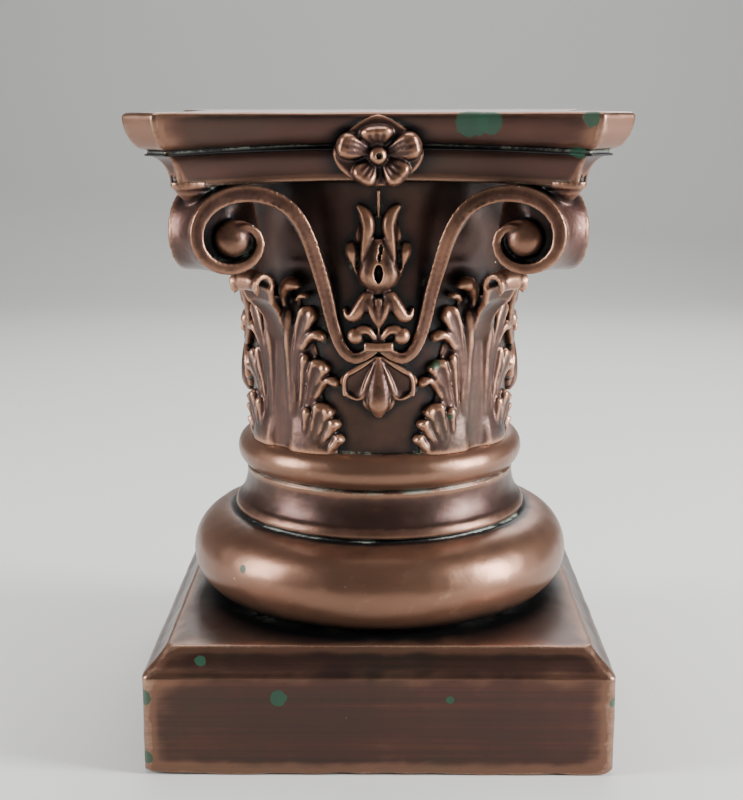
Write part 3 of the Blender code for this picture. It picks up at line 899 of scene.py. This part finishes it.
def add_leaf_lobes(bm):
    """Ridge and lobes of the half of the leaf that faces the front."""
    lobe(bm, [(6.4, 218), (6, 250), (5.7, 278), (5.8, 302), (6.4, 322.5)], (5, 5, 5.2, 5.6, 5.2),
         (3.8, 4.4, 5.4, 7.4, 9.6), SOFT)
    lobe(bm, [(8, 236), (8.7, 268), (10.6, 294), (14, 311), (17.3, 324)], (1.5, 2.1, 3.6, 7, 8.2),
         (3.8, 5, 6.4, 7.6, 9.2), SPOON)
    lobe(bm, [(4.6, 318, 1), (5.4, 328, 5), (7.4, 336.5, 8), (10.4, 340, 9), (14.2, 338, 8.5)],
         (1.6, 2.4, 4.6, 5.2, 4), (4, 5, 6.4, 6.8, 5.6), ROUND, 0.3)
    lobe(bm, [(11.6, 328, 4), (14, 331.5, 6), (16.6, 332, 6)], (1.4, 2.2, 2.6), (4, 4.6, 4.6))
    lobe(bm, [(9.6, 262), (11.2, 283), (14.2, 296), (18, 303), (21.3, 302.5), (22.4, 298.5)],
         (1.4, 1.9, 3.1, 4.1, 4.1, 3.2), (3.6, 5, 7, 8.8, 9, 7.6))
    lobe(bm, [(10.6, 240), (12, 262), (13.6, 277), (14.6, 290)], (1.6, 2.6, 4, 4.8), (4.2, 5.6, 7.4, 9.2))
    lobe(bm, [(13.4, 240), (16.2, 262), (19.4, 275), (22.2, 285)], (2, 3.6, 7.2, 8.4),
         (4.2, 5.6, 7.8, 9.8), SPOON)
    lobe(bm, [(16, 247), (19.8, 262), (23.8, 270.5), (26.8, 270), (27.8, 266)], (1.8, 2.5, 3.3, 3.6, 2.8),
         (3.8, 5.4, 7.8, 8.4, 7))
    lobe(bm, [(13, 226), (13.9, 236), (15, 250.5)], (2.4, 3.6, 4.9), (5.4, 6.8, 9.4))
    lobe(bm, [(17.4, 226), (20, 239), (23.2, 253.5)], (4, 6.2, 8.8), (6, 7.2, 10), SPOON, 0.18)
    lobe(bm, [(21.8, 225), (24.6, 233), (27.6, 242.5)], (3, 4, 5), (6, 7, 9.4))
    lobe(bm, [(23.6, 217), (26.6, 224), (29.6, 230.5)], (2.6, 3.6, 4.6), (5.2, 6.4, 8.2))


leaf_paint = bronze_paint("leaf_bronze", brush=(50, 50, 9), red=0.3, green_spots=(
    ((0.04, -0.097, 0.283), 0.0045), ((0.052, -0.094, 0.243), 0.0035)))
settle_corners("corner_leaves_", (add_leaf_ground, add_roll_over, mirrored_corner(add_leaf_lobes)),
               LEAF_GRAIN, leaf_paint, smoothing=3)

# Centre spray
# The ornament in the middle of each face: a bud with two horns and two side buds, spread
# leaves below it, a pair of curled tips, the clasp that holds the stems, and a palmette.

CLASP_HEIGHT = 0.2965
FRONT = Vector((0, -1, 0))
SPRAY_GRAIN = 0.00097


def swelling(foot, most, tip, peak=0.5):
    """Function that runs from foot through most at peak to tip, from sizes in mm."""
    def value(share):
        if share < peak:
            return (foot + (most - foot) * math.sin(math.pi / 2 * share / peak)) / 1000
        t = (share - peak) / (1 - peak)
        return (tip + (most - tip) * math.cos(math.pi / 2 * t)) / 1000
    return value


def sprig(bm, points, widths, heights, section=ROUND, steps=16):
    """Body of the spray through a few places, each an angle from the middle and a height in mm."""
    path = curve_through([on_bell(angle, z / 1000) for angle, z in points], steps)
    limb(bm, path, [bell_out(point) for point in path], swelling(*widths), swelling(*heights), section)


DISHED = both_sides([(1, -1), (1, 0.75), (0.86, 1.0), (0.62, 0.8), (0.3, 0.62), (0, 0.58)])


def add_spray_half(bm):
    """The right half of what comes in pairs."""
    sprig(bm, [(5.6, 356), (4.7, 370), (3.9, 382), (5.4, 391), (8.2, 396.5)],
          (3, 5.4, 1.6, 0.55), (7.8, 9.2, 5, 0.35))
    sprig(bm, [(7.2, 368), (7.7, 376), (7, 384)], (1.4, 2.2, 1.2), (3.5, 4.4, 3))
    sprig(bm, [(3, 337), (6.4, 341), (9, 351), (10.6, 360)],
          (1, 1.3, 1.3), (4, 4, 4))
    sprig(bm, [(9.6, 354.5), (10.5, 362.5), (11.2, 370.5)],
          (1.2, 4.4, 2.6, 0.6), (3.5, 6.8, 4.4, 0.6))
    sprig(bm, [(2.2, 334.5), (4.4, 332.5), (7, 325), (9.8, 318.5), (12.4, 319), (13.9, 324.5)],
          (3, 5.6, 1.4, 0.38), (5.8, 8, 4, 0.4))
    sprig(bm, [(0.9, 298.5), (2.4, 304.5), (4.6, 308), (7.4, 307.5), (9.6, 304)],
          (1.6, 4, 5, 0.8), (4, 7, 7, 0.8))
    add_ball(bm, on_bell(9.2, 0.304, 0.0022), bell_out(on_bell(9.2, 0.304)), 0.006)
    sprig(bm, [(0.6, 289), (3.8, 280), (8.2, 270.5), (12.2, 263.5)],
          (1.2, 11.2, 9.6, 0.82), (4, 6.2, 5.2, 0.6), DISHED)
    sprig(bm, [(0.9, 289.5), (5.2, 284), (9.6, 279), (12.6, 275.5), (13.6, 269), (13.4, 261)],
          (1, 2.4, 2.2, 0.6), (4.5, 7.6, 7.4, 0.6))
    sprig(bm, [(13.4, 262.5), (11, 260), (8.6, 258.5), (6.4, 259)],
          (2.2, 2, 1.2, 0.3), (7, 6.4, 5, 0.3))
    sprig(bm, [(0.8, 288), (3, 278), (5, 269), (6.6, 261)],
          (1, 1.9, 1.4, 0.6), (4.5, 7.4, 5.6, 0.6))
    sprig(bm, [(2.8, 250), (5, 255.5), (5.9, 263)], (2, 3, 1.4),
          (4, 5.2, 3.6, 0.6))


def add_spray_middle(bm):
    """What stands on the middle line."""
    sprig(bm, [(0, 407), (0, 398), (0, 388)], (1.3, 1.3, 1.3), (2.8, 2.8, 2.8))
    sprig(bm, [(0, 334.5), (0, 344.5), (0, 357), (0, 373.5)],
          (5.2, 14.6, 7.8, 0.44), (5.5, 11.8, 6.8, 0.45), steps=26)
    for turn in (-1, 0, 1):
        sprig(bm, [(0, 310.5), (2 * turn, 320), (3.9 * turn, 331.5)],
              (1.4, 4.2, 4, 0.8), (4, 8.4, 7.2, 0.7))
    sprig(bm, [(0, 314), (0, 298)], (1.2, 1.2, 1.2), (4, 4, 4))
    sprig(bm, [(0, 289.5), (0, 279), (0, 266), (0, 254.5), (0, 245)],
          (1.2, 8.8, 2, 0.7), (5, 10, 5, 0.7))
    clasp = []
    for out, grow in ((-0.004, 0.0), (0.0068, 0.0), (0.0078, -0.0007), (0.0082, -0.0018)):
        wide, high = math.degrees((0.0098 + grow) / BELL_RADIUS), 0.0032 + grow
        clasp.append([on_bell(aside, CLASP_HEIGHT + rise, out)
                      for aside, rise in ((-wide, -high), (0, -high), (wide, -high), (wide, high), (0, high),
                                          (-wide, high))])
    loft(bm, clasp)


sprays_bm = gathered(copied_round(add_spray_half), copied_round(add_spray_middle, False))
spray_mesh = fused_mesh("centre_sprays", sprays_bm, SPRAY_GRAIN)


def dig(mesh, centre, wide, high, depth):
    """Presses an oval hollow into every copy of a spot near the middle of a face."""
    for turn in range(4):
        turned = quarter(turn)
        back = turned.transposed()
        for vert in mesh.vertices:
            place = back @ vert.co - centre
            if abs(place.x) < wide and abs(place.z) < high and place.y < 0.006:
                away = math.sqrt((place.x / wide) ** 2 + (place.z / high) ** 2)
                if away < 1:
                    vert.co -= turned @ (FRONT * depth * (1 - away ** 2.5))
    mesh.update()


dig(spray_mesh, on_bell(0, 0.349, 0.0108), 0.0036, 0.0068, 0.008)
dig(spray_mesh, on_bell(0.3, 0.3605, 0.009), 0.0013, 0.0034, 0.0036)
dig(spray_mesh, on_bell(0.9, 0.366, 0.009), 0.0015, 0.004, 0.004)
spray_paint = bronze_paint("spray_bronze", streaks=0.08, brush=(40, 40, 20), red=0.5)
settle("centre_sprays", spray_mesh, spray_paint)

# Flowers
# One five-petalled flower on the middle of each side of the abacus, over a gabled backing.
# The petals have raised outer rims and veins that run in to a round button with a hole.

FLOWER_HEIGHT = TOP - 0.0285
FLOWER_FRONT = ABACUS_WIDTH / 2 - ABACUS_HOLLOW
FLOWER_GRAIN = 0.00088


def on_abacus(across, up, out):
    """Point in front of the middle of the abacus's front side, measured from the flower's middle."""
    return Vector((across, -FLOWER_FRONT - out, FLOWER_HEIGHT + up))


def add_petal(bm, turn, reach_wide, reach_high, half):
    """Rounded petal, low at the button and thick at its outer rim, with a vein each side of its middle."""
    middle = Vector((math.cos(turn) * reach_wide, math.sin(turn) * reach_high))
    length = middle.length
    along = middle.normalized()
    aside = Vector((-along.y, along.x))
    rings = []
    for i in range(15):
        share = i / 14
        run = length * (0.26 + 0.74 * share)
        full = half * (0.3 + 0.7 * math.sin(math.pi / 2 * min(share / 0.62, 1)))
        full *= math.sqrt(max(0.05, 1 - max(0.0, (share - 0.62) / 0.38) ** 2.4))
        rise = 0.002 + 0.0066 * math.sin(math.pi / 2 * min(share / 0.75, 1)) ** 1.5
        rise *= math.sqrt(max(0.12, 1 - max(0.0, (share - 0.74) / 0.26) ** 2))
        vein = 0.3 * max(0.0, 1 - share / 0.65)
        ring = []
        for a, o in both_sides([(1, -1), (1, 0.35), (0.86, 0.74), (0.62, 0.94), (0.42, 0.96 - vein),
                                (0.22, 1.0), (0, 0.95 - vein)]):
            flat = along * run + aside * (a * full)
            ring.append(on_abacus(flat.x, flat.y, (rise * o if o > 0 else -0.006) + 0.0006))
        rings.append(ring)
    loft(bm, rings)


def add_flower(bm):
    """Backing, petals and button of one flower."""
    outline = []
    for i in range(40):
        turn = 2 * math.pi * i / 40
        up = math.sin(turn)
        gable = 1.0 + 0.32 * max(0.0, up) ** 6
        outline.append((0.0305 * math.cos(turn) * (1 - 0.12 * max(0.0, -up)), 0.0205 * up * gable))
    backing = []
    for shrink, out in ((1.0, -0.03), (1.0, -0.0012), (0.97, 0.0004), (0.9, 0.001)):
        backing.append([on_abacus(x * shrink, z * shrink, out) for x, z in outline])
    loft(bm, backing)
    for degrees, wide, high, half in ((93, 0.027, 0.02, 0.0112), (158, 0.0298, 0.023, 0.0088),
                                      (236, 0.0225, 0.0218, 0.0088), (312, 0.027, 0.0218, 0.0096),
                                      (19, 0.0305, 0.0265, 0.0094)):
        add_petal(bm, math.radians(degrees), wide, high, half)
    add_ball(bm, on_abacus(0, 0, 0.0022), FRONT, 0.0066, 0.85)


flower_mesh = fused_mesh("flowers", copied_round(add_flower, False), FLOWER_GRAIN)
dig(flower_mesh, on_abacus(0.0006, -0.0004, 0.0078), 0.0021, 0.0021, 0.004)
flower_paint = bronze_paint("flower_bronze", streaks=0.08, brush=(40, 40, 20), red=0.4)
settle("flowers", flower_mesh, flower_paint)

# Painted shade and highlights, wear and dirt
# Rays measure how sheltered each point is, for painted shade in hollows and under parts, partly the darker
# paint left there, and ridges and swells get copper wear and painted highlights. Dust and old polish settle
# where two forms meet.

RAY_COUNT = 12
NEAR_REACH = 0.0055
FAR_REACH = 0.06
RIDGE_HEIGHT = 0.00038
SWELL_HEIGHT = 0.0011


def ray_fan(count):
    """Directions spread evenly over the half sphere about +Z, thicker near the pole."""
    fan = []
    for i in range(count):
        aside = math.sqrt((i + 0.5) / count) * 0.97
        turn = i * math.pi * (3 - math.sqrt(5))
        fan.append(Vector((aside * math.cos(turn), aside * math.sin(turn), math.sqrt(1 - aside * aside))))
    return fan


def casting_tree():
    """All pieces of the casting in one tree for rays."""
    points, faces = [], []
    for piece in casting_pieces:
        start = len(points)
        points += [vert.co.copy() for vert in piece.data.vertices]
        faces += [[start + i for i in face.vertices] for face in piece.data.polygons]
    return BVHTree.FromPolygons(points, faces)


def shelter(mesh, tree, fan):
    """How closed in each point is, by near and by far surroundings."""
    near = np.zeros(len(mesh.vertices))
    far = np.zeros(len(mesh.vertices))
    for k, vert in enumerate(mesh.vertices):
        turned = Vector((0, 0, 1)).rotation_difference(vert.normal).to_matrix()
        turned = turned @ Matrix.Rotation(2.4 * k, 3, "Z")
        start = vert.co + vert.normal * 0.0005
        for direction in fan:
            distance = tree.ray_cast(start, turned @ direction, FAR_REACH)[3]
            if distance is not None:
                far[k] += 1 - distance / FAR_REACH * 0.6
                near[k] += distance < NEAR_REACH
    return near / len(fan), far / len(fan)


def smoothed(values, edges, passes):
    """Values averaged with their neighbours a number of times."""
    count = np.bincount(edges.ravel(), minlength=len(values)).astype(float)
    count[count == 0] = 1
    for _ in range(passes):
        total = np.zeros_like(values)
        np.add.at(total, edges[:, 0], values[edges[:, 1]])
        np.add.at(total, edges[:, 1], values[edges[:, 0]])
        average = total / (count[:, None] if values.ndim > 1 else count)
        values = values * 0.4 + average * 0.6
    return values


def standing_out(mesh, edges, passes, scale):
    """How far each point stands out from its surroundings, as a share of scale."""
    points = np.empty(len(mesh.vertices) * 3)
    mesh.vertices.foreach_get("co", points)
    points = points.reshape(-1, 3)
    normals = np.array([vert.normal for vert in mesh.vertices])
    return np.einsum("ij,ij->i", points - smoothed(points, edges, passes), normals) / scale


tree = casting_tree()
fan = ray_fan(RAY_COUNT)
for piece in casting_pieces:
    mesh = piece.data
    edges = np.empty(len(mesh.edges) * 2, dtype=np.int64)
    mesh.edges.foreach_get("vertices", edges)
    edges = edges.reshape(-1, 2)
    near, far = shelter(mesh, tree, fan)
    shade_and_wear = {"hollow": smoothed(far, edges, 5), "crease": smoothed(near, edges, 3) * 1.6,
            "ridge": standing_out(mesh, edges, 7, RIDGE_HEIGHT),
            "swell": standing_out(mesh, edges, 31, SWELL_HEIGHT)}
    for name, values in shade_and_wear.items():
        layer = mesh.attributes.new(name, "FLOAT", "POINT")
        layer.data.foreach_set("value", np.clip(values, 0, 1).astype(np.float32))

# Floor, light and camera
# A plain pale floor and soft studio lamps, seen from the photograph's viewpoint.

FOCAL_LENGTH = 64.5
SENSOR_WIDTH = 36.0
CAMERA_PLACE = Vector((0.006, -1.1038, 0.4669))
CAMERA_DOWN = math.radians(11.78)
CAMERA_TURN = math.radians(0.636)
CAMERA_ROLL = math.radians(-0.12)


def area_lamp(name, place, target, size, power):
    """Soft lamp, so wide and so high, that points at a target."""
    lamp = bpy.data.lights.new(name, "AREA")
    lamp.shape = "RECTANGLE"
    lamp.size, lamp.size_y = size
    lamp.energy = power
    made = placed(name, lamp)
    made.location = place
    made.rotation_euler = (Vector(target) - Vector(place)).to_track_quat("-Z", "Y").to_euler()


floor_bm = bmesh.new()
sweep = [(-5.0, 0.0), (2.2, 0.0)]
for i in range(1, 11):
    turn = math.pi * i / 20
    sweep.append((2.2 + 1.2 * math.sin(turn), 1.2 - 1.2 * math.cos(turn)))
sweep += [(3.4, 4.0)]
rails = [[floor_bm.verts.new((x, y, z)) for y, z in sweep] for x in (-6, 6)]
for i in range(len(sweep) - 1):
    floor_bm.faces.new((rails[0][i], rails[1][i], rails[1][i + 1], rails[0][i + 1]))
floor_mesh = bpy.data.meshes.new("floor")
floor_bm.to_mesh(floor_mesh)
floor_bm.free()
floor_mesh.shade_smooth()
floor_finish = Finish("pale_floor")
floor_finish.set(Base_Color=(0.66, 0.66, 0.64, 1), Roughness=0.9)
floor_mesh.materials.append(floor_finish.material)
floor = placed("floor", floor_mesh)

area_lamp("softbox_left", (-1.9, -0.5, 0.8), (0, 0, 0.22), (0.6, 1.2), 54)
area_lamp("softbox_right", (1.9, -0.55, 0.8), (0, 0, 0.22), (0.6, 1.2), 108)
area_lamp("softbox_above", (0.0, 0.35, 2.2), (0, 0, 0.2), (1.6, 1.2), 34)
area_lamp("softbox_behind", (0.3, 1.9, 1.5), (0, 0, 0.3), (1.8, 1.0), 30)

world = bpy.data.worlds.new("studio")
world.use_nodes = True
sky = world.node_tree.nodes["Background"].inputs
sky["Color"].default_value = (0.93, 0.94, 0.96, 1)
sky["Strength"].default_value = 0.12
bpy.context.scene.world = world

camera_data = bpy.data.cameras.new("camera")
camera_data.lens = FOCAL_LENGTH
camera_data.sensor_width = SENSOR_WIDTH
camera = placed("camera", camera_data)
forward = Vector((-math.sin(CAMERA_TURN) * math.cos(CAMERA_DOWN),
                  math.cos(CAMERA_TURN) * math.cos(CAMERA_DOWN), -math.sin(CAMERA_DOWN)))
looking = forward.to_track_quat("-Z", "Y").to_matrix().to_4x4()
camera.matrix_world = Matrix.Translation(CAMERA_PLACE) @ looking @ Matrix.Rotation(CAMERA_ROLL, 4, "Z")
bpy.context.scene.camera = camera
